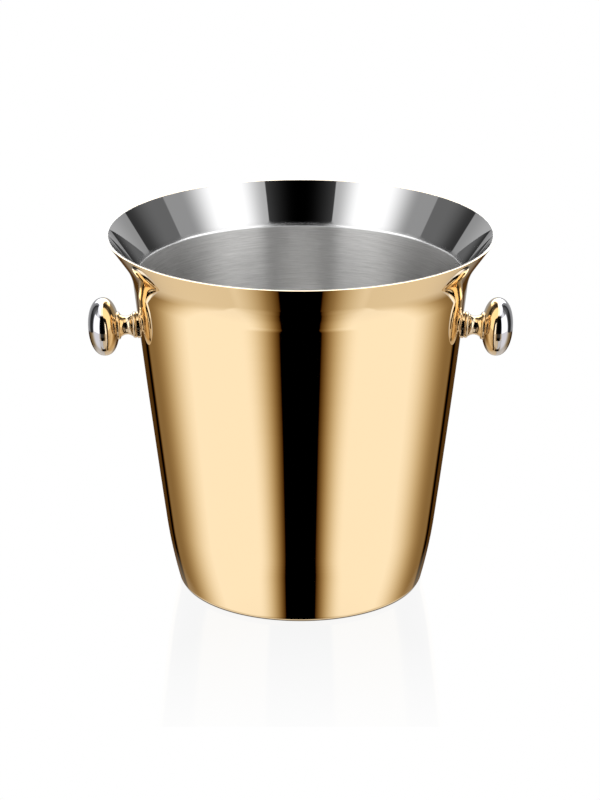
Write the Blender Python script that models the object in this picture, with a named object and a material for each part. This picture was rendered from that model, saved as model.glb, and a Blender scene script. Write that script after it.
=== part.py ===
"""Champagne bucket with two side knobs.

A gold-plated outer shell and a bare steel liner nest together at the flared rim and leave an air
gap below it.  Each knob is a chrome cap on a gold back, carried by a gold spool that one screw
draws against the wall from inside the air gap.  Metres, +Z up, origin at the middle of the base.
"""
from math import atan2, cos, hypot, log, pi, radians, sin, tan

import bmesh
import bpy

MM = 0.001

# Overall size.
HEIGHT = 200 * MM
BASE_FLAT_RADIUS = 64.2 * MM       # edge of the flat the bucket stands on
BASE_CORNER = 3.6 * MM             # outside radius where the base turns up into the wall

# How the outside wall leans out from vertical, at three heights, and the straight flare above.
FOOT_ANGLE = radians(14.8)
BELLY_HEIGHT, BELLY_ANGLE = 37.5 * MM, radians(7.35)
NECK_HEIGHT, NECK_ANGLE = 172.5 * MM, radians(6.3)
FLARE_HEIGHT, FLARE_ANGLE = 186.3 * MM, radians(34.8)

# Sheet metal.
SHEET = 0.7 * MM                   # thickness of both shells
GAP = 0.3 * MM                     # clearance between pieces that touch
BASE_RECESS = 1.2 * MM             # the middle of the base is pressed up by this much
BASE_RECESS_RADIUS = 56 * MM

# Liner.
LINER_ANGLE = radians(9.5)         # its wall tapers more than the shell, which opens the air gap
LINER_NECK_HEIGHT = 177.7 * MM     # where its wall would meet the straight flare
LINER_NECK_BEND = 5 * MM
LINER_FLOOR = 7 * MM
LINER_CORNER = 10 * MM

# Knobs: their frame has +Z along the knob's axis, away from the bucket, and z = 0 where the
# chrome cap meets the gold back.
KNOB_X = 106.95 * MM
KNOB_Z = 146.1 * MM
KNOB_DROOP = radians(3.5)          # the outer end hangs a little
KNOB_RADIUS = 15.9 * MM
CAP_DEPTH = 8.6 * MM
BACK_DEPTH = 8.2 * MM
KNOB_FULLNESS = 2.2                # exponent of the section: 2 is an ellipse, more is squarer
SPIGOT_RADIUS, SPIGOT_DEPTH = 6.0 * MM, 3.0 * MM
COLLAR_RADIUS, COLLAR_BEAD = 7.6 * MM, 1.15 * MM
COLLAR_SEAT = -6.6 * MM            # where the spool's outer collar starts, sunk in the knob's back
WAIST_RADIUS = 4.9 * MM
FOOT_BEAD_RADIUS = 7.2 * MM
SPOOL_END = -18.0 * MM
WALL_PLATE_RADIUS = 7.4 * MM

# Fixings.
SCREW_RADIUS = 2.5 * MM            # M5
SCREW_TIP = 4.2 * MM
HEAD_RADIUS, HEAD_THICKNESS = 4.7 * MM, 1.2 * MM
SOCKET_RADIUS, SOCKET_DEPTH = 1.7 * MM, 2.5 * MM
WASHER_RADIUS, WASHER_THICKNESS = 4.9 * MM, 0.5 * MM
WASHER_FACE = -20.7 * MM           # outer face of the washer inside the air gap
HOLE_RADIUS = SCREW_RADIUS + GAP

SHELL_SIDES = 48
KNOB_SIDES = 24


# ---------------------------------------------------------------- outlines
# A wall's outline is a list of (radius, height, lean): lean is its angle from vertical there, so
# the normal that points away from the bucket's axis is (cos lean, -sin lean).

def lean_on(start, end_height, end_lean, steps):
    """Carries a wall up from start while its lean changes evenly with height."""
    radius, height, lean = start
    rate = (end_lean - lean) / (end_height - height)
    points = []
    for step in range(1, steps + 1):
        z = height + (end_height - height) * step / steps
        angle = lean + rate * (z - height)
        grown = (log(cos(lean)) - log(cos(angle))) / rate
        points.append((radius + grown, z, angle))
    return points


def round_corner(centre, radius, lean_from, lean_to, steps):
    """An arc that bulges away from the axis."""
    leans = [lean_from + (lean_to - lean_from) * step / steps for step in range(steps + 1)]
    return [(centre[0] + radius * cos(a), centre[1] - radius * sin(a), a) for a in leans]


def round_neck(centre, radius, lean_from, lean_to, steps):
    """An arc that bulges towards the axis."""
    leans = [lean_from + (lean_to - lean_from) * step / steps for step in range(steps + 1)]
    return [(centre[0] - radius * cos(a), centre[1] + radius * sin(a), a) for a in leans]


def outward(outline, distance):
    return [(r + distance * cos(a), z - distance * sin(a), a) for r, z, a in outline]


def flat(outline):
    return [(r, z) for r, z, _ in outline]


def shell_wall():
    """The shell's outer face, from the flat of the base to the top of the neck."""
    wall = round_corner((BASE_FLAT_RADIUS, BASE_CORNER), BASE_CORNER, pi / 2, FOOT_ANGLE, 4)
    wall += lean_on(wall[-1], BELLY_HEIGHT, BELLY_ANGLE, 4)
    wall += lean_on(wall[-1], NECK_HEIGHT, NECK_ANGLE, 3)
    wall += lean_on(wall[-1], FLARE_HEIGHT, FLARE_ANGLE, 6)
    return wall


def on_flare(height, depth):
    """Radius at a height on the straight flare, at a depth below its outer face."""
    radius, start, _ = shell_wall()[-1]
    return radius + (height - start) * tan(FLARE_ANGLE) - depth / cos(FLARE_ANGLE)


def rim_edge(depth):
    """The rounded top edge of a sheet whose outer face lies this deep below the flare's."""
    height = HEIGHT - SHEET / 2
    centre = (on_flare(height, depth + SHEET / 2), height)
    return round_corner(centre, SHEET / 2, FLARE_ANGLE, FLARE_ANGLE - pi, 5)


# ---------------------------------------------------------------- solids

def material(name, colour, roughness):
    made = bpy.data.materials.new(name)
    made.use_nodes = True
    shader = made.node_tree.nodes["Principled BSDF"]
    shader.inputs["Base Color"].default_value = (*colour, 1)
    shader.inputs["Metallic"].default_value = 1
    shader.inputs["Roughness"].default_value = roughness
    return made


def turned(name, profile, sides, finish=None):
    """A solid of revolution about Z.  The profile is a closed outline of (radius, height)."""
    mesh = bpy.data.meshes.new(name)
    bm = bmesh.new()
    rings = []
    for radius, height in profile:
        if radius < 1e-9:
            rings.append([bm.verts.new((0, 0, height))])
            continue
        turns = [2 * pi * side / sides for side in range(sides)]
        rings.append([bm.verts.new((radius * cos(t), radius * sin(t), height)) for t in turns])
    for lower, upper in zip(rings, rings[1:] + rings[:1]):
        for side in range(sides):
            after = (side + 1) % sides
            corners = [lower[side % len(lower)], lower[after % len(lower)],
                       upper[after % len(upper)], upper[side % len(upper)]]
            face = list(dict.fromkeys(corners))
            if len(face) > 2:
                bm.faces.new(face)
    bmesh.ops.recalc_face_normals(bm, faces=bm.faces)
    bm.to_mesh(mesh)
    bm.free()
    mesh.shade_smooth()
    mesh.set_sharp_from_angle(angle=radians(32))
    solid = bpy.data.objects.new(name, mesh)
    bpy.context.scene.collection.objects.link(solid)
    if finish:
        mesh.materials.append(finish)
    return solid


def cut(solid, cutter):
    modifier = solid.modifiers.new("cut_" + cutter.name, "BOOLEAN")
    modifier.operation = "DIFFERENCE"
    modifier.solver = "EXACT"
    modifier.object = cutter


def as_cutter(solid):
    solid.hide_render = True
    solid.display_type = "WIRE"
    return solid


def rod(radius, low, high):
    return [(0, low), (radius, low), (radius, high), (0, high)]


def tube(inner, outer, low, high):
    return [(inner, low), (outer, low), (outer, high), (inner, high)]


# ---------------------------------------------------------------- the two shells

def make_outer_shell(finish):
    wall = shell_wall()
    inside = outward(wall, -SHEET)
    step = BASE_RECESS_RADIUS + BASE_RECESS
    underside = [(0, BASE_RECESS), (BASE_RECESS_RADIUS, BASE_RECESS), (step, 0)]
    top_of_base = [(step + SHEET / 2, SHEET), (BASE_RECESS_RADIUS + SHEET / 2, BASE_RECESS + SHEET),
                   (0, BASE_RECESS + SHEET)]
    profile = underside + flat(wall) + flat(rim_edge(0)) + flat(inside[::-1]) + top_of_base
    return turned("outer_shell", profile, SHELL_SIDES, finish)


def make_inner_liner(finish):
    """Hangs in the shell by its flare; its wall and floor stay clear of the shell."""
    depth = SHEET + GAP
    corner = (on_flare(LINER_NECK_HEIGHT, depth + SHEET), LINER_NECK_HEIGHT)
    reach = LINER_NECK_BEND * tan((FLARE_ANGLE - LINER_ANGLE) / 2)
    below = (corner[0] - reach * sin(LINER_ANGLE), corner[1] - reach * cos(LINER_ANGLE))
    bend_centre = (below[0] + LINER_NECK_BEND * cos(LINER_ANGLE),
                   below[1] - LINER_NECK_BEND * sin(LINER_ANGLE))
    neck = round_neck(bend_centre, LINER_NECK_BEND, LINER_ANGLE, FLARE_ANGLE, 4)

    turn_height = LINER_FLOOR + LINER_CORNER
    wall_at_turn = turn_height - LINER_CORNER * sin(LINER_ANGLE)
    wall_radius = below[0] - (below[1] - wall_at_turn) * tan(LINER_ANGLE)
    floor_radius = wall_radius - LINER_CORNER * cos(LINER_ANGLE)
    floor_corner = round_corner((floor_radius, turn_height), LINER_CORNER, pi / 2, LINER_ANGLE, 4)

    inner = floor_corner + neck
    outer = outward(inner, SHEET)
    profile = ([(0, LINER_FLOOR - SHEET)] + flat(outer) + flat(rim_edge(depth))
               + flat(inner[::-1]) + [(0, LINER_FLOOR)])
    return turned("inner_liner", profile, SHELL_SIDES, finish)


# ---------------------------------------------------------------- knob pieces

def dome(depth, steps):
    """The knob's section from its widest circle to its pole, for a half of this depth."""
    points = []
    for step in range(steps + 1):
        turn = pi / 2 * step / steps
        points.append((KNOB_RADIUS * cos(turn) ** (2 / KNOB_FULLNESS),
                       depth * sin(turn) ** (2 / KNOB_FULLNESS)))
    return points


def cap_profile():
    """Chrome dome with a spigot that enters the back, and a blind thread for the screw."""
    shell = [(r, z + GAP / 2) for r, z in dome(CAP_DEPTH - GAP / 2, 8)[:-1]]
    thread_end = SCREW_TIP + GAP
    return ([(HOLE_RADIUS, -SPIGOT_DEPTH), (SPIGOT_RADIUS, -SPIGOT_DEPTH), (SPIGOT_RADIUS, GAP / 2)]
            + shell + [(0, CAP_DEPTH), (0, thread_end), (HOLE_RADIUS, thread_end)])


def back_profile():
    """Gold half, bored for the cap's spigot and the screw, and recessed for the spool's collar."""
    recess_radius = COLLAR_RADIUS + GAP
    recess_floor = COLLAR_SEAT + GAP
    depth = BACK_DEPTH - GAP / 2
    lip = depth * (1 - (recess_radius / KNOB_RADIUS) ** KNOB_FULLNESS) ** (1 / KNOB_FULLNESS)
    shell = [(r, -z - GAP / 2) for r, z in dome(depth, 8) if r > recess_radius * 1.1]
    bore = SPIGOT_RADIUS + GAP
    bore_floor = -SPIGOT_DEPTH - GAP
    return (shell + [(recess_radius, -lip - GAP / 2), (recess_radius, recess_floor),
                     (HOLE_RADIUS, recess_floor), (HOLE_RADIUS, bore_floor),
                     (bore, bore_floor), (bore, -GAP / 2)])


def spool_profile():
    """A full-round bead at each end and a waist on one arc between them."""
    def bead(radius, middle):
        turns = [radians(a) for a in (90, 54, 18, -18, -54, -90)]
        return [(radius - COLLAR_BEAD + COLLAR_BEAD * cos(t), middle + COLLAR_BEAD * sin(t))
                for t in turns]

    collar = bead(COLLAR_RADIUS, COLLAR_SEAT - COLLAR_BEAD)
    foot = bead(FOOT_BEAD_RADIUS, SPOOL_END + COLLAR_BEAD)
    start, end = collar[-1], foot[0]
    half = (start[1] - end[1]) / 2
    sag = (start[0] + end[0]) / 2 - WAIST_RADIUS
    arc_radius = (half ** 2 + sag ** 2) / (2 * sag)
    centre = (WAIST_RADIUS + arc_radius, (start[1] + end[1]) / 2)
    first = atan2(start[1] - centre[1], start[0] - centre[0])
    last = atan2(end[1] - centre[1], end[0] - centre[0]) + 2 * pi
    reach = hypot(start[0] - centre[0], start[1] - centre[1])
    steps = 8
    turns = [first + (last - first) * step / steps for step in range(1, steps)]
    waist = [(centre[0] + reach * cos(t), centre[1] + reach * sin(t)) for t in turns]
    return [(HOLE_RADIUS, COLLAR_SEAT)] + collar + waist + foot + [(HOLE_RADIUS, SPOOL_END)]


def screw_profile():
    head_top = WASHER_FACE - WASHER_THICKNESS - GAP
    head_base = head_top - HEAD_THICKNESS
    chamfer = SCREW_RADIUS / 5
    return [(0, head_base), (HEAD_RADIUS - chamfer, head_base), (HEAD_RADIUS, head_base + chamfer),
            (HEAD_RADIUS, head_top), (SCREW_RADIUS, head_top), (SCREW_RADIUS, SCREW_TIP - chamfer),
            (SCREW_RADIUS - chamfer, SCREW_TIP), (0, SCREW_TIP)]


def make_knob(side, direction, shell, wall_cutter, finishes):
    """All pieces of one knob.  direction is +1 for the knob at +X and -1 for the one at -X."""
    axis = bpy.data.objects.new(side + "_knob_axis", None)
    axis.location = (direction * KNOB_X, 0, KNOB_Z)
    axis.rotation_euler = (0, direction * (pi / 2 + KNOB_DROOP), 0)
    bpy.context.scene.collection.objects.link(axis)

    def piece(name, profile, finish=None, sides=KNOB_SIDES):
        made = turned(side + name, profile, sides, finish)
        made.parent = axis
        return made

    gold, chrome, steel = finishes
    piece("_knob_cap", cap_profile(), chrome)
    piece("_knob_back", back_profile(), gold)
    piece("_knob_spool", spool_profile(), gold)

    plate_top = SPOOL_END - GAP
    plate = piece("_wall_plate",
                  tube(HOLE_RADIUS, WALL_PLATE_RADIUS, plate_top - 5 * MM, plate_top), gold)
    cut(plate, wall_cutter)

    washer_back = WASHER_FACE - WASHER_THICKNESS
    piece("_screw_washer", tube(HOLE_RADIUS, WASHER_RADIUS, washer_back, WASHER_FACE), steel)

    screw = piece("_knob_screw", screw_profile(), steel)
    head_base = washer_back - GAP - HEAD_THICKNESS
    socket = piece("_screw_socket", rod(SOCKET_RADIUS, head_base - MM, head_base + SOCKET_DEPTH),
                   sides=6)
    cut(screw, as_cutter(socket))

    drill = piece("_wall_drill", rod(HOLE_RADIUS, SPOOL_END - 6 * MM, SPOOL_END + 6 * MM))
    cut(shell, as_cutter(drill))


def main():
    for old in list(bpy.data.objects):
        bpy.data.objects.remove(old, do_unlink=True)

    gold = material("gold_plate", (0.83, 0.60, 0.27), 0.08)
    chrome = material("chrome_plate", (0.80, 0.80, 0.82), 0.05)
    steel = material("screw_steel", (0.55, 0.55, 0.56), 0.3)
    satin = material("liner_steel", (0.62, 0.62, 0.61), 0.3)

    shell = make_outer_shell(gold)
    make_inner_liner(satin)

    # The wall plates are hollowed to the shell's outer face, grown by the clearance.
    grown = flat(outward(shell_wall(), GAP))
    wall_body = turned("wall_body", [(0, grown[0][1])] + grown + [(0, grown[-1][1])], 4 * SHELL_SIDES)
    wall_cutter = as_cutter(wall_body)
    for side, direction in (("right", 1), ("left", -1)):
        make_knob(side, direction, shell, wall_cutter, (gold, chrome, steel))


main()
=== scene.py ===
"""The looks of the champagne bucket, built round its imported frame."""
from math import atan2, cos, hypot, log, pi, radians, sin, tan

import bmesh
import bpy
from mathutils import Matrix, Vector


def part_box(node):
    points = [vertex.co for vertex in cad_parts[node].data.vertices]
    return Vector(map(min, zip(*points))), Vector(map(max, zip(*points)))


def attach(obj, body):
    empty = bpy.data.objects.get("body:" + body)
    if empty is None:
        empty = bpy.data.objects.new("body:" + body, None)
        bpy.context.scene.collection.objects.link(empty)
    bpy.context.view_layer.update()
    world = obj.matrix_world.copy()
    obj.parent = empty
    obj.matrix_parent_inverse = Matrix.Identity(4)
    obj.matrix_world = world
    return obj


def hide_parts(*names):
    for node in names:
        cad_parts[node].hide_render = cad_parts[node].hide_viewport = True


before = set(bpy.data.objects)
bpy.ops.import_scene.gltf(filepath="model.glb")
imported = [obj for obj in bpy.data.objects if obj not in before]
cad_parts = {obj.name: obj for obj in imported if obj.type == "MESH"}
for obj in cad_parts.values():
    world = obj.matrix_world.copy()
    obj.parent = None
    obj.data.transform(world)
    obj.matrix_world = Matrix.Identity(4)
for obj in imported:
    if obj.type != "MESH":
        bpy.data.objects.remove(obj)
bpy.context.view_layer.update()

MM = 0.001

# The outline of the shells, as in the CAD model: base corner, wall, neck and straight flare.
BASE_FLAT_RADIUS = 64.2 * MM
BASE_CORNER = 3.6 * MM
FOOT_ANGLE = radians(14.8)
BELLY_HEIGHT, BELLY_ANGLE = 37.5 * MM, radians(7.35)
NECK_HEIGHT, NECK_ANGLE = 172.5 * MM, radians(6.3)
FLARE_HEIGHT, FLARE_ANGLE = 186.3 * MM, radians(34.8)
SHEET = 0.7 * MM
SEAM = 0.04 * MM                   # what is left of the gap between the shells at the rim
HEM_RADIUS = 0.12 * MM             # the liner's rolled edge, which covers the shell's top edge
BASE_RECESS = 1.2 * MM
BASE_RECESS_RADIUS = 56 * MM
LINER_ANGLE = radians(9.5)
LINER_NECK_HEIGHT = 177.7 * MM
LINER_NECK_BEND = 3 * MM
LINER_CORNER = 10 * MM
RIM_SATIN = 0.4 * MM               # the rim's edge is satin again
BRUSHING_TOP = 176.9 * MM          # the liner is brushed up to here, in the bend of its neck,
POLISH_START = 180.8 * MM          # and fully polished from here up

# The knobs' sections, along the knob's axis from the plane where cap and back meet.
KNOB_DROOP = radians(3.5)
KNOB_RADIUS = 15.9 * MM
CAP_DEPTH = 8.6 * MM
BACK_DEPTH = 8.2 * MM
KNOB_FULLNESS = 2.2
KNOB_SEAM = 0.05 * MM
COLLAR_RADIUS, COLLAR_BEAD = 7.6 * MM, 1.15 * MM
COLLAR_SEAT = -6.6 * MM
WAIST_RADIUS = 4.9 * MM
FOOT_BEAD_RADIUS = 7.2 * MM
SPOOL_END = -18.0 * MM
WALL_PLATE_RADIUS = 7.4 * MM
HOLE_RADIUS = 2.8 * MM

SHELL_EDGE = 0.15 * MM             # rounds the shell's top edge
PLATE_THICKNESS = MM               # of a wall plate, before it is fitted to the wall
PLATE_EDGE = 0.2 * MM
PLATE_BAND = 0.6 * MM
HOLD = 0.1 * MM                    # from the ends of a long stretch to its extra points
SHELL_SIDES = 360
KNOB_SIDES = 144

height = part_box("outer_shell")[1].z
liner_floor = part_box("inner_liner")[0].z + SHEET


# ---------------------------------------------------------------- outlines
# A wall's outline is a list of (radius, height, lean): lean is its angle from vertical there, so
# the normal that points away from the bucket's axis is (cos lean, -sin lean).

def lean_on(start, end_height, end_lean, steps):
    """Carries a wall up from start while its lean changes evenly with height."""
    radius, low, lean = start
    rate = (end_lean - lean) / (end_height - low)
    points = []
    for step in range(1, steps + 1):
        z = low + (end_height - low) * step / steps
        angle = lean + rate * (z - low)
        points.append((radius + (log(cos(lean)) - log(cos(angle))) / rate, z, angle))
    return points


def arc(centre, radius, lean_from, lean_to, steps):
    """A bend in an outline.  A negative radius bulges towards the bucket's axis."""
    leans = [lean_from + (lean_to - lean_from) * step / steps for step in range(steps + 1)]
    return [(centre[0] + radius * cos(a), centre[1] - radius * sin(a), a) for a in leans]


def outward(outline, distance):
    return [(r + distance * cos(a), z - distance * sin(a), a) for r, z, a in outline]


def flat(outline):
    return [(r, z) for r, z, _ in outline]


def shell_wall():
    wall = arc((BASE_FLAT_RADIUS, BASE_CORNER), BASE_CORNER, pi / 2, FOOT_ANGLE, 14)
    wall += lean_on(wall[-1], BELLY_HEIGHT, BELLY_ANGLE, 16)
    wall += lean_on(wall[-1], NECK_HEIGHT, NECK_ANGLE, 16)
    wall += lean_on(wall[-1], FLARE_HEIGHT, FLARE_ANGLE, 24)
    return wall


WALL = shell_wall()


def wall_radius(z):
    """The shell's outside radius at a height between the base and the flare."""
    for (r0, z0, _), (r1, z1, _) in zip(WALL, WALL[1:]):
        if z0 <= z <= z1:
            return r0 + (r1 - r0) * (z - z0) / (z1 - z0)
    return WALL[-1][0]


def on_flare(z, depth):
    radius, start, _ = WALL[-1]
    return radius + (z - start) * tan(FLARE_ANGLE) - depth / cos(FLARE_ANGLE)


def hem():
    """The liner's rolled edge, from its ledge over the shell to its inner side."""
    z = height - HEM_RADIUS
    depth = 2 * SHEET + SEAM - HEM_RADIUS
    roll = arc((on_flare(z, depth), z), HEM_RADIUS, FLARE_ANGLE, FLARE_ANGLE - pi, 20)
    return [(on_flare(roll[0][1], SHEET + SEAM), roll[0][1], roll[0][2])] + roll


def shell_edge():
    """The shell's top edge, rounded where it comes out from under the hem."""
    z = height - HEM_RADIUS - SHELL_EDGE
    round_off = arc((on_flare(z, SHELL_EDGE), z), SHELL_EDGE, FLARE_ANGLE,
                    FLARE_ANGLE - pi / 2, 8)
    inner = on_flare(round_off[-1][1], SHEET)
    return round_off + [(inner, round_off[-1][1], FLARE_ANGLE - pi)]


# ---------------------------------------------------------------- meshes

def held(profile):
    """Adds a point near both ends of each long stretch, so that shading stays flat along it."""
    points = []
    for (r0, z0), (r1, z1) in zip(profile, profile[1:]):
        points.append((r0, z0))
        near = HOLD / max(hypot(r1 - r0, z1 - z0), 1e-9)
        if near < 0.2:
            points += [(r0 + (r1 - r0) * t, z0 + (z1 - z0) * t) for t in (near, 1 - near)]
    return points + [profile[-1]]


def turned(name, profile, sides, finishes, finish_of=None, sharp=30):
    """A closed solid of revolution about Z.  finish_of(height) picks a face's finish."""
    mesh = bpy.data.meshes.new(name)
    bm = bmesh.new()
    rings = []
    for radius, z in held(profile):
        if radius < 1e-9:
            rings.append([bm.verts.new((0, 0, z))])
            continue
        turns = [2 * pi * side / sides for side in range(sides)]
        rings.append([bm.verts.new((radius * cos(t), radius * sin(t), z)) for t in turns])
    for lower, upper in zip(rings, rings[1:] + rings[:1]):
        if len(lower) == len(upper) == 1:
            continue
        for side in range(sides):
            after = (side + 1) % sides
            corners = [lower[side % len(lower)], lower[after % len(lower)],
                       upper[after % len(upper)], upper[side % len(upper)]]
            face = bm.faces.new(list(dict.fromkeys(corners)))
            if finish_of:
                face.material_index = finish_of(face.calc_center_median().z)
    bmesh.ops.recalc_face_normals(bm, faces=bm.faces)
    bm.to_mesh(mesh)
    bm.free()
    for finish in finishes:
        mesh.materials.append(finish)
    mesh.shade_smooth()
    mesh.set_sharp_from_angle(angle=radians(sharp))
    solid = bpy.data.objects.new(name, mesh)
    bpy.context.scene.collection.objects.link(solid)
    return solid


def settle(piece, slot, *nodes):
    """The piece rides on the frame and stands for its CAD nodes."""
    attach(piece, "root")
    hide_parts(*nodes)


# ---------------------------------------------------------------- materials

class Nodes:
    """A short way to write a node graph."""

    def __init__(self, tree):
        self.tree = tree

    def add(self, kind, inputs=(), **settings):
        node = self.tree.nodes.new(kind)
        for key, value in settings.items():
            setattr(node, key, value)
        for key, value in dict(inputs).items():
            if isinstance(value, bpy.types.NodeSocket):
                self.tree.links.new(value, node.inputs[key])
            else:
                node.inputs[key].default_value = value
        return node

    def math(self, operation, *values):
        return self.add("ShaderNodeMath", dict(enumerate(values)), operation=operation).outputs[0]

    def ramp(self, factor, stops):
        """A plain value that goes straight from stop to stop."""
        node = self.add("ShaderNodeValToRGB", {"Fac": factor})
        elements = node.color_ramp.elements
        while len(elements) < len(stops):
            elements.new(1)
        for element, (position, value) in zip(elements, stops):
            element.position = position
            element.color = (value, value, value, 1)
        return node.outputs[0]

    def mix(self, factor, a, b):
        node = self.add("ShaderNodeMix", {0: factor, 6: a, 7: b}, data_type="RGBA")
        return node.outputs[2]

    def blend(self, factor, a, b):
        """Mixes two plain values."""
        node = self.add("ShaderNodeMix", {0: factor, 2: a, 3: b}, data_type="FLOAT")
        return node.outputs[0]

    def ease(self, value, start, end):
        """Like span, but eases in and out."""
        return self.add("ShaderNodeMapRange", {0: value, 1: start, 2: end},
                        interpolation_type="SMOOTHSTEP").outputs[0]

    def scale(self, value, low, high):
        """Maps 0..1 to low..high."""
        return self.add("ShaderNodeMapRange", {0: value, 3: low, 4: high}).outputs[0]

    def span(self, value, start, end):
        """0 at start, 1 at end and beyond."""
        return self.add("ShaderNodeMapRange", {0: value, 1: start, 2: end}).outputs[0]


def metal(name, colour, roughness):
    made = bpy.data.materials.new(name)
    made.use_nodes = True
    nodes = Nodes(made.node_tree)
    shader = made.node_tree.nodes["Principled BSDF"]
    shader.inputs["Base Color"].default_value = (*colour, 1)
    shader.inputs["Metallic"].default_value = 1
    shader.inputs["Roughness"].default_value = roughness
    return made, nodes, shader


def feed(nodes, shader, socket, value):
    nodes.tree.links.new(value, shader.inputs[socket])


def polished(name, colour, tint, haze, wipe, satin=None):
    """Mirror polish.  tint is a second colour that drifts through the metal, haze the lowest
    roughness and wipe how much the marks of a polishing cloth add to it.  satin is (roughness,
    height, height) for a finish that goes from satin to full polish between two heights."""
    made, nodes, shader = metal(name, colour, haze)
    place = nodes.add("ShaderNodeTexCoord").outputs["Object"]
    drift = nodes.add("ShaderNodeTexNoise", {"Vector": place, "Scale": 18, "Detail": 2}).outputs[0]
    cloth = nodes.add("ShaderNodeTexNoise", {"Vector": place, "Scale": 90, "Detail": 5,
                                             "Distortion": 1.6}).outputs[0]
    rough = nodes.add("ShaderNodeMapRange", {0: cloth, 1: 0.45, 2: 0.8, 3: haze,
                                             4: haze + wipe}).outputs[0]
    plate = nodes.mix(drift, (*colour, 1), (*tint, 1))
    if satin:
        coarse, start, end = satin
        split = nodes.add("ShaderNodeSeparateXYZ", {0: place}).outputs
        left = nodes.math("POWER", nodes.span(split[2], end, start), SATIN_FADE)
        plate = nodes.mix(left, plate, tuple(SATIN_SHADE * c for c in colour) + (1,))
        grain = nodes.add("ShaderNodeTexNoise", {"Vector": place, "Scale": 2500}).outputs[0]
        left = nodes.math("MULTIPLY", left, nodes.scale(grain, 0.6, 1.4))
        rough = nodes.math("MULTIPLY_ADD", left, coarse, rough)
    feed(nodes, shader, "Base Color", plate)
    feed(nodes, shader, "Roughness", rough)
    return made


BRUSH_FINENESS = 400               # scales the brush pattern across its lines, per metre
SATIN_FADE = 1.7                   # over 1, so that a satin finish gives way early
SATIN_SHADE = 0.8                  # satin metal is darker


def brushed(name, colour, roughness, spread=0):
    """Satin steel, brushed round the Z axis.  spread smears its highlights across the lines."""
    made, nodes, shader = metal(name, colour, roughness)
    place = nodes.add("ShaderNodeTexCoord").outputs["Object"]
    split = nodes.add("ShaderNodeSeparateXYZ", {0: place}).outputs
    turn = nodes.math("ARCTAN2", split[1], split[0])
    reach = nodes.math("SQRT", nodes.math("ADD", nodes.math("MULTIPLY", split[0], split[0]),
                                          nodes.math("MULTIPLY", split[1], split[1])))
    across = nodes.math("MULTIPLY", nodes.math("ADD", split[2], reach),
                        BRUSH_FINENESS)
    along = nodes.add("ShaderNodeCombineXYZ", {0: nodes.math("COSINE", turn),
                                               1: nodes.math("SINE", turn),
                                               2: across}).outputs[0]
    lines = nodes.add("ShaderNodeTexNoise", {"Vector": along, "Scale": 6, "Detail": 6,
                                             "Roughness": 0.75}).outputs[0]
    broad = nodes.add("ShaderNodeTexNoise", {"Vector": along, "Scale": 1.3, "Detail": 2}).outputs[0]
    strokes = nodes.math("MULTIPLY_ADD", broad, 0.12, nodes.math("MULTIPLY", lines, 0.88))
    strokes = nodes.span(strokes, 0.36, 0.64)
    dark = tuple(0.7 * c for c in colour)
    feed(nodes, shader, "Base Color", nodes.mix(strokes, (*dark, 1), (*colour, 1)))
    feed(nodes, shader, "Roughness", nodes.scale(strokes, roughness * 1.15, roughness * 0.85))
    bump = nodes.add("ShaderNodeBump", {"Height": lines, "Distance": 0.00003, "Strength": 0.5})
    feed(nodes, shader, "Normal", bump.outputs[0])
    if spread:
        radial = nodes.add("ShaderNodeTangent", direction_type="RADIAL", axis="Z")
        feed(nodes, shader, "Tangent", radial.outputs[0])
        shader.inputs["Anisotropic"].default_value = spread
        shader.inputs["Anisotropic Rotation"].default_value = 0.25
    return made


GOLD = (0.96, 0.77, 0.48)
gold_plate = polished("gold_plate", GOLD, (0.95, 0.76, 0.47), 0.015, 0.03)
# The knobs' gold is the shell's gold plate with a satin finish. Its colour is painted shade: a
# darker, paler copy of that gold.
shaded_knob_gold = polished("gold_plate_satin_shaded", (0.73, 0.59, 0.41), (0.71, 0.57, 0.39), 0.09, 0.03)
chrome_plate = polished("chrome_plate", (0.62, 0.62, 0.65), (0.60, 0.60, 0.63), 0.01, 0.02)
flare_steel = polished("polished_steel", (0.90, 0.90, 0.90), (0.88, 0.88, 0.89), 0.015, 0.03,
                       (0.36, BRUSHING_TOP, POLISH_START))
liner_steel = brushed("brushed_steel", (0.64, 0.635, 0.625), 0.34, 0.92)
screw_steel = brushed("screw_steel", (0.55, 0.55, 0.56), 0.35)


# ---------------------------------------------------------------- the two shells

def make_shell():
    step = BASE_RECESS_RADIUS + BASE_RECESS
    underside = [(0, BASE_RECESS), (BASE_RECESS_RADIUS, BASE_RECESS), (step, 0)]
    top_of_base = [(step + SHEET / 2, SHEET), (BASE_RECESS_RADIUS + SHEET / 2, BASE_RECESS + SHEET),
                   (0, BASE_RECESS + SHEET)]
    inside = outward(WALL, -SHEET)
    profile = underside + flat(WALL) + flat(shell_edge()) + flat(inside[::-1]) + top_of_base
    shell = turned("gold_shell", profile, SHELL_SIDES, [gold_plate])
    settle(shell, "gold_plate", "outer_shell")


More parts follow.
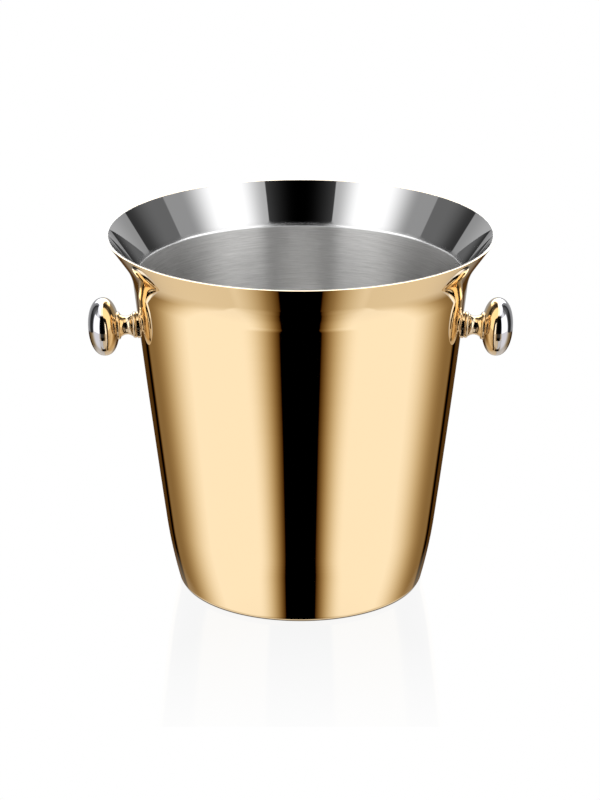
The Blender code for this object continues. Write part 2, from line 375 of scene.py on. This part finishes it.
def make_liner():
    depth = SHEET + SEAM
    corner = (on_flare(LINER_NECK_HEIGHT, depth + SHEET), LINER_NECK_HEIGHT)
    reach = LINER_NECK_BEND * tan((FLARE_ANGLE - LINER_ANGLE) / 2)
    below = (corner[0] - reach * sin(LINER_ANGLE), corner[1] - reach * cos(LINER_ANGLE))
    bend_centre = (below[0] + LINER_NECK_BEND * cos(LINER_ANGLE),
                   below[1] - LINER_NECK_BEND * sin(LINER_ANGLE))
    neck = arc(bend_centre, -LINER_NECK_BEND, LINER_ANGLE, FLARE_ANGLE, 16)

    turn_height = liner_floor + LINER_CORNER
    wall_at_turn = turn_height - LINER_CORNER * sin(LINER_ANGLE)
    radius = below[0] - (below[1] - wall_at_turn) * tan(LINER_ANGLE)
    centre = (radius - LINER_CORNER * cos(LINER_ANGLE), turn_height)
    floor_corner = arc(centre, LINER_CORNER, pi / 2, LINER_ANGLE, 20)

    inner = floor_corner + neck
    profile = ([(0, liner_floor - SHEET)] + flat(outward(inner, SHEET)) + flat(hem())
               + flat(inner[::-1]) + [(0, liner_floor)])

    def finish_of(z):
        return 0 if BRUSHING_TOP < z < height - RIM_SATIN else 1

    liner = turned("steel_liner", profile, SHELL_SIDES, [flare_steel, liner_steel], finish_of)
    settle(liner, "liner_steel", "inner_liner")


# ---------------------------------------------------------------- knobs

def section(depth, steps, stop_radius=0):
    """A knob half's section, from its widest circle towards its pole."""
    points = []
    for step in range(steps + 1):
        turn = pi / 2 * step / steps
        radius = KNOB_RADIUS * cos(turn) ** (2 / KNOB_FULLNESS)
        if radius < stop_radius:
            break
        points.append((radius, depth * sin(turn) ** (2 / KNOB_FULLNESS)))
    return points


def cap_profile():
    edge = 0.12 * MM
    dome = [(r, z + KNOB_SEAM / 2) for r, z in section(CAP_DEPTH - KNOB_SEAM / 2, 48)[:-1]]
    dome[0] = (dome[0][0] - edge / 3, dome[0][1])
    return [(0, KNOB_SEAM / 2)] + dome + [(0, CAP_DEPTH)]


def back_profile():
    recess = COLLAR_RADIUS + KNOB_SEAM
    depth = BACK_DEPTH - KNOB_SEAM / 2
    lip = depth * (1 - (recess / KNOB_RADIUS) ** KNOB_FULLNESS) ** (1 / KNOB_FULLNESS)
    half = [(r, -z - KNOB_SEAM / 2) for r, z in section(depth, 48, recess * 1.01)]
    floor = COLLAR_SEAT + KNOB_SEAM
    return ([(0, -KNOB_SEAM / 2)] + half
            + [(recess, -lip - KNOB_SEAM / 2), (recess, floor), (0, floor)])


def spool_profile():
    """A full-round bead at each end and a waist on one arc between them."""
    def bead(radius, middle, steps=16):
        turns = [pi / 2 - pi * step / steps for step in range(steps + 1)]
        return [(radius - COLLAR_BEAD + COLLAR_BEAD * cos(t), middle + COLLAR_BEAD * sin(t))
                for t in turns]

    collar = bead(COLLAR_RADIUS, COLLAR_SEAT - COLLAR_BEAD)
    foot = bead(FOOT_BEAD_RADIUS, SPOOL_END + COLLAR_BEAD)
    start, end = collar[-1], foot[0]
    half = (start[1] - end[1]) / 2
    sag = (start[0] + end[0]) / 2 - WAIST_RADIUS
    arc_radius = (half ** 2 + sag ** 2) / (2 * sag)
    centre = (WAIST_RADIUS + arc_radius, (start[1] + end[1]) / 2)
    first = atan2(start[1] - centre[1], start[0] - centre[0])
    last = atan2(end[1] - centre[1], end[0] - centre[0]) + 2 * pi
    reach = hypot(start[0] - centre[0], start[1] - centre[1])
    steps = 32
    turns = [first + (last - first) * step / steps for step in range(1, steps)]
    waist = [(centre[0] + reach * cos(t), centre[1] + reach * sin(t)) for t in turns]
    return [(HOLE_RADIUS, COLLAR_SEAT)] + collar + waist + foot + [(HOLE_RADIUS, SPOOL_END)]


def plate_profile():
    top = SPOOL_END - KNOB_SEAM
    bottom = top - PLATE_THICKNESS
    return [(HOLE_RADIUS, top), (WALL_PLATE_RADIUS - PLATE_EDGE, top),
            (WALL_PLATE_RADIUS, top - PLATE_EDGE), (WALL_PLATE_RADIUS, top - PLATE_BAND),
            (WALL_PLATE_RADIUS, bottom), (HOLE_RADIUS, bottom)]


def fit_to_wall(plate, placed, clearance):
    """Slides the plate's lower ring along the knob's axis until it meets the shell's wall."""
    lowest = min(v.co.z for v in plate.data.vertices)
    for vertex in plate.data.vertices:
        if vertex.co.z > lowest + 1e-6:
            continue
        near, far = 0.0, 4 * MM
        for _ in range(30):
            slide = (near + far) / 2
            point = placed @ Vector((vertex.co.x, vertex.co.y, SPOOL_END - slide))
            if hypot(point.x, point.y) > wall_radius(point.z) + clearance:
                near = slide
            else:
                far = slide
        vertex.co.z = SPOOL_END - near


def knob_place(side, direction):
    """The knob's frame: +Z along its axis, away from the bucket, from the plane of its seam."""
    lows, highs = zip(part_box(side + "_knob_cap"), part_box(side + "_knob_back"))
    low = Vector(min(p[i] for p in lows) for i in range(3))
    high = Vector(max(p[i] for p in highs) for i in range(3))
    turn = Matrix.Rotation(direction * (pi / 2 + KNOB_DROOP), 4, "Y")
    # The box reaches CAP_DEPTH one way and BACK_DEPTH the other, so its middle is off the seam.
    seam = (low + high) / 2 - turn @ Vector((0, 0, (CAP_DEPTH - BACK_DEPTH) / 2))
    return Matrix.Translation(seam) @ turn


def make_knob(side, direction):
    placed = knob_place(side, direction)
    # The gold pieces take the knobs' darker gold, whose colour is painted shade.
    pieces = (("_knob_cap", cap_profile(), chrome_plate, "chrome_plate"),
              ("_knob_back", back_profile(), shaded_knob_gold, "gold_plate"),
              ("_knob_spool", spool_profile(), shaded_knob_gold, "gold_plate"),
              ("_wall_plate", plate_profile(), shaded_knob_gold, "gold_plate"))
    for name, profile, finish, slot in pieces:
        piece = turned(side + name + "_fine", profile, KNOB_SIDES, [finish])
        if name == "_wall_plate":
            fit_to_wall(piece, placed, KNOB_SEAM)
        piece.matrix_world = placed
        settle(piece, slot, side + name)
    for name in ("_knob_screw", "_screw_washer"):
        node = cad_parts[side + name]
        node.data.materials.clear()
        node.data.materials.append(screw_steel)


# ---------------------------------------------------------------- studio

RIM_RADIUS = 105 * MM
CAMERA_BACK, CAMERA_UP = 14.8014, 6.3038     # in rim radii
CAMERA_SIDEWAYS = -0.29 * MM
CAMERA_PITCH = radians(19.764)


def make_camera():
    """Long lens, 20 degrees above the bucket."""
    data = bpy.data.cameras.new("camera")
    data.lens = 135
    data.sensor_width = 36
    camera = bpy.data.objects.new("camera", data)
    camera.location = (CAMERA_SIDEWAYS, -CAMERA_BACK * RIM_RADIUS, CAMERA_UP * RIM_RADIUS)
    camera.rotation_euler = (radians(90) - CAMERA_PITCH, 0, 0)
    bpy.context.scene.collection.objects.link(camera)
    bpy.context.scene.camera = camera


# What surrounds the bucket is told apart by three things about a direction: how far down it
# points (depth, 0 to 1), how far back it points (y, -1 to 1) and its turn, in degrees from straight
# in front, the same on both sides.  A level of 1 is about white.
# The outline of the dark gap in front: (depth, half its width).
GAP_WIDTHS = ((0.0, 0.235), (0.50, 0.230), (0.56, 0.200), (0.60, 0.190), (0.66, 0.193),
              (0.75, 0.184), (0.87, 0.172), (0.94, 0.155), (0.984, 0.130), (0.993, 0.113))
LIGHT_RETURNS = (0.84, 2.64)       # beside the gap, in gap widths from the middle
RETURN_POWER = 0.8                 # under 1, so that it returns faster near the gap
SIDE_FADE = (-0.09, 0.65)          # by y, light fades on each side
SIDE_FALL = 0.776                  # by this much
DARK_LINE = (0.72, 0.76)           # by y, a dark line starts at the back
BROWN_EDGE = (0.80, 0.83)          # and ends in a dim band
BROWN_LEVEL = 0.069
TABLE_LEVEL = 0.77                 # straight down
DIMMEST_BELOW = 0.91               # what is left of all light by straight down
GAP_GLOW = 0.06                    # fills the gap just below the horizon, where knobs mirror it
# Dim light is warmer: red, green and blue are the level to a power, times a gain.
POWERS = (0.97, 1.25, 1.83)
GAINS = (1.06, 1.03, 1.03)

GAP_EDGE, GAP_HAZE = 28.5, 0.05    # above the horizon, the gap's edge and its level there
WHITE_RISE, WHITE_LOW, WHITE_GAIN = (29, 51), 0.47, 0.73
WHITE_FADE, WHITE_LOSS = (66.5, 91.5), 0.89
DARK_EDGE, DARK_LEVEL = 102.8, 0.14
DARK_FADE, DARK_LOSS = (112, 134), 0.105
PALE_EDGE, PALE_LEVEL = 134.4, 0.30
PALE_RISE, PALE_GAIN = (134.6, 155), 0.12
EDGE_BLUR = 0.35                   # degrees
LOW_SHADE = 0.035                  # the dark panel's lower part
PANEL_LIGHT = 1.8                  # the slanting side panels and the ceiling
BACK_LIGHT = 2.86                  # the panel at the back


def warm(nodes, level):
    """The colour of warm light of a level."""
    channels = [nodes.math("MULTIPLY", nodes.math("POWER", level, power), gain)
                for power, gain in zip(POWERS, GAINS)]
    return nodes.add("ShaderNodeCombineXYZ", dict(enumerate(channels))).outputs[0]


def light_below(nodes, side, y, depth):
    """Warm light from below the horizon: bright on both sides of a dark gap in front."""
    gap = nodes.ramp(depth, GAP_WIDTHS)
    widths = nodes.math("DIVIDE", side, gap)
    beside = nodes.math("MULTIPLY", nodes.span(widths, 0.97, 1.03),
                        nodes.math("POWER", nodes.ease(widths, *LIGHT_RETURNS), RETURN_POWER))
    back = nodes.math("MULTIPLY_ADD", nodes.ease(y, *SIDE_FADE), -SIDE_FALL, 1)
    back = nodes.math("MULTIPLY", back, nodes.span(y, *DARK_LINE[::-1]))
    back = nodes.math("MULTIPLY_ADD", nodes.span(y, *BROWN_EDGE), BROWN_LEVEL, back)
    table = nodes.span(nodes.math("MULTIPLY_ADD", y, 0.45, depth), 0.81, 0.98)
    back = nodes.mix(table, warm(nodes, back), warm(nodes, TABLE_LEVEL))
    # The gap runs on under the bucket for a little way.
    under = nodes.math("MULTIPLY", nodes.span(depth, 0.88, 0.97), 0.18)
    low = nodes.mix(nodes.span(nodes.math("SUBTRACT", y, under), -0.05, 0.0),
                    warm(nodes, beside), back)
    glow = nodes.math("MULTIPLY", nodes.span(depth, 0.50, 0.42), nodes.span(y, -0.05, -0.15))
    low = nodes.mix(nodes.math("MULTIPLY", glow, GAP_GLOW), low, (1, 1, 1, 1))
    dimming = nodes.scale(nodes.span(depth, 0.70, 0.98), 1, DIMMEST_BELOW)
    return nodes.add("ShaderNodeMix", {0: 1.0, 6: low, 7: dimming}, data_type="RGBA",
                     blend_type="MULTIPLY").outputs[2]


def light_above(nodes, side, y, z):
    """Panels above the horizon, by turn: the gap, a white one, a grey, a dark and a pale one."""
    front = nodes.math("MULTIPLY", y, -1)
    turn = nodes.math("MULTIPLY", nodes.math("ARCTAN2", side, front), 180 / pi)

    def past(edge):
        return nodes.span(turn, edge - EDGE_BLUR, edge + EDGE_BLUR)

    gap = nodes.math("POWER", nodes.math("DIVIDE", turn, GAP_EDGE), 3)
    white = nodes.math("MULTIPLY_ADD", nodes.ease(turn, *WHITE_RISE), WHITE_GAIN, WHITE_LOW)
    white = nodes.math("MULTIPLY_ADD", nodes.ease(turn, *WHITE_FADE), -WHITE_LOSS, white)
    dark = nodes.math("MULTIPLY_ADD", nodes.ease(turn, *DARK_FADE), -DARK_LOSS, DARK_LEVEL)
    pale = nodes.math("MULTIPLY_ADD", nodes.ease(turn, *PALE_RISE), PALE_GAIN, PALE_LEVEL)
    level = nodes.blend(past(GAP_EDGE), nodes.math("MULTIPLY", gap, GAP_HAZE), white)
    level = nodes.blend(past(DARK_EDGE), level, dark)
    level = nodes.blend(past(PALE_EDGE), level, pale)

    def height_span(start, end):
        return nodes.span(z, sin(radians(start)), sin(radians(end)))

    # The dark panel is darker low down.
    shade = nodes.math("MULTIPLY", nodes.span(turn, 102, 108), nodes.span(turn, 134.4, 134))
    level = nodes.blend(nodes.math("MULTIPLY", shade, height_span(22, 10)), level, LOW_SHADE)
    # A white panel on each side, up to a slanting top edge, and a white ceiling.
    slant = nodes.math("MULTIPLY_ADD", front, -0.316, z)
    sides = nodes.math("MULTIPLY", nodes.span(turn, 26, 30), nodes.span(turn, 99, 93))
    panel = nodes.math("MULTIPLY", nodes.span(slant, 0.57, 0.53), sides)
    level = nodes.blend(panel, level, PANEL_LIGHT)
    level = nodes.blend(height_span(58, 63), level, PANEL_LIGHT)
    behind = nodes.math("MULTIPLY", nodes.span(turn, 146, 152), height_span(10, 15))
    return nodes.blend(behind, level, BACK_LIGHT)


def make_surroundings():
    """The bucket mirrors the studio's light, and the camera sees plain white behind it."""
    world = bpy.data.worlds.new("studio")
    world.use_nodes = True
    bpy.context.scene.world = world
    nodes = Nodes(world.node_tree)
    world.node_tree.nodes.clear()
    direction = nodes.add("ShaderNodeTexCoord").outputs["Generated"]
    x, y, z = nodes.add("ShaderNodeSeparateXYZ", {0: direction}).outputs
    side = nodes.math("ABSOLUTE", x)
    low = light_below(nodes, side, y, nodes.math("MULTIPLY", z, -1))
    high = light_above(nodes, side, y, z)
    # The horizon lies at 12 degrees down in front and 19 at the back.
    horizon = nodes.math("MULTIPLY_ADD", nodes.span(y, -0.1, 0.4), 0.12, z)
    colour = nodes.mix(nodes.span(horizon, -0.22, -0.20), low, high)

    backdrop = nodes.add("ShaderNodeBackground", {"Color": (1, 1, 1, 1), "Strength": 1})
    panels = nodes.add("ShaderNodeBackground", {"Color": colour, "Strength": 1})
    seen = nodes.add("ShaderNodeLightPath").outputs["Is Camera Ray"]
    shown = nodes.add("ShaderNodeMixShader", {0: seen, 1: panels.outputs[0],
                                              2: backdrop.outputs[0]})
    nodes.add("ShaderNodeOutputWorld", {0: shown.outputs[0]})


CARD_INNER, CARD_OUTER = 92 * MM, 122 * MM
CARD_FRONT = -30 * MM
CARD_TOP = 130 * MM
CARD_LIGHT = (0.80, 0.76, 0.72, 1)


def make_fill_cards():
    """A narrow card in front of each knob, lit on the knob's side only, hides the gap from it."""
    for direction in (1, -1):
        mesh = bpy.data.meshes.new("fill_card")
        corners = [(CARD_INNER, 0), (CARD_INNER, CARD_TOP), (CARD_OUTER, CARD_TOP),
                   (CARD_OUTER, 0)]
        order = (0, 1, 2, 3) if direction > 0 else (3, 2, 1, 0)
        mesh.from_pydata([(direction * x, CARD_FRONT, z) for x, z in corners], [], [order])
        card = bpy.data.objects.new("fill_card", mesh)
        bpy.context.scene.collection.objects.link(card)
        finish = bpy.data.materials.new("fill_light")
        finish.use_nodes = True
        finish.node_tree.nodes.clear()
        nodes = Nodes(finish.node_tree)
        glow = nodes.add("ShaderNodeEmission", {"Color": CARD_LIGHT, "Strength": 1})
        rear = nodes.add("ShaderNodeNewGeometry").outputs["Backfacing"]
        clear = nodes.add("ShaderNodeBsdfTransparent")
        one_sided = nodes.add("ShaderNodeMixShader", {0: rear, 1: glow.outputs[0],
                                                      2: clear.outputs[0]})
        nodes.add("ShaderNodeOutputMaterial", {0: one_sided.outputs[0]})
        mesh.materials.append(finish)
        card.visible_camera = card.visible_diffuse = card.visible_shadow = False
        card.visible_transmission = card.visible_volume_scatter = False


TABLE_REACH = 3
MAT_REACH = 196 * MM
MAT_STRETCH = 1.5                  # the mat is this much longer than it is wide
MAT_GLOSS, MAT_EDGE_GLOSS = 0.088, 0.02
MAT_MIRROR = (0.35, 0.35, 0.35, 1)
# A painted contact shadow on the floor: a dark ring round the foot.
CONTACT_START, CONTACT_END = 1.5 * MM, 2.2 * MM  # a dark ring round the foot fades between these
CONTACT_SHADE = (0.05, 0.03, 0.01, 1)


def make_floor():
    """A white table with a faintly glossy mat, whose gloss fades towards its edge, and a painted
    contact shadow: a dark ring round the bucket's foot.
    """
    mesh = bpy.data.meshes.new("floor")
    reach = TABLE_REACH
    mesh.from_pydata([(-reach, -reach, 0), (reach, -reach, 0), (reach, reach, 0),
                      (-reach, reach, 0)], [], [(0, 1, 2, 3)])
    floor = bpy.data.objects.new("floor", mesh)
    bpy.context.scene.collection.objects.link(floor)
    finish = bpy.data.materials.new("white_gloss")
    finish.use_nodes = True
    finish.node_tree.nodes.clear()
    nodes = Nodes(finish.node_tree)
    place = nodes.add("ShaderNodeTexCoord").outputs["Object"]
    x, y, _ = nodes.add("ShaderNodeSeparateXYZ", {0: place}).outputs
    away = nodes.math("MAXIMUM", nodes.math("ABSOLUTE", nodes.math("MULTIPLY", x, MAT_STRETCH)),
                      nodes.math("ABSOLUTE", y))
    gloss = nodes.add("ShaderNodeMapRange", {0: away, 1: BASE_FLAT_RADIUS, 2: MAT_REACH,
                                             3: MAT_GLOSS, 4: MAT_EDGE_GLOSS})
    gloss = nodes.math("MULTIPLY", gloss.outputs[0], nodes.math("LESS_THAN", away, MAT_REACH))
    radius = nodes.add("ShaderNodeVectorMath", {0: place}, operation="LENGTH").outputs["Value"]
    # Painted contact shadow: the floor's white turns dark in a thin ring round the foot.
    contact_shadow = nodes.span(radius, BASE_FLAT_RADIUS + CONTACT_END, BASE_FLAT_RADIUS + CONTACT_START)
    shade = nodes.mix(contact_shadow, (1, 1, 1, 1), CONTACT_SHADE)
    white = nodes.add("ShaderNodeEmission", {"Color": shade, "Strength": 1})
    mirror = nodes.add("ShaderNodeBsdfGlossy", {"Color": MAT_MIRROR, "Roughness": 0.03})
    both = nodes.add("ShaderNodeMixShader", {0: gloss, 1: white.outputs[0],
                                             2: mirror.outputs[0]})
    nodes.add("ShaderNodeOutputMaterial", {0: both.outputs[0]})
    mesh.materials.append(finish)
    floor.visible_glossy = False


make_camera()
make_shell()
make_liner()
make_knob("right", 1)
make_knob("left", -1)
make_floor()
make_fill_cards()
make_surroundings()
bpy.context.scene.view_settings.view_transform = "Standard"
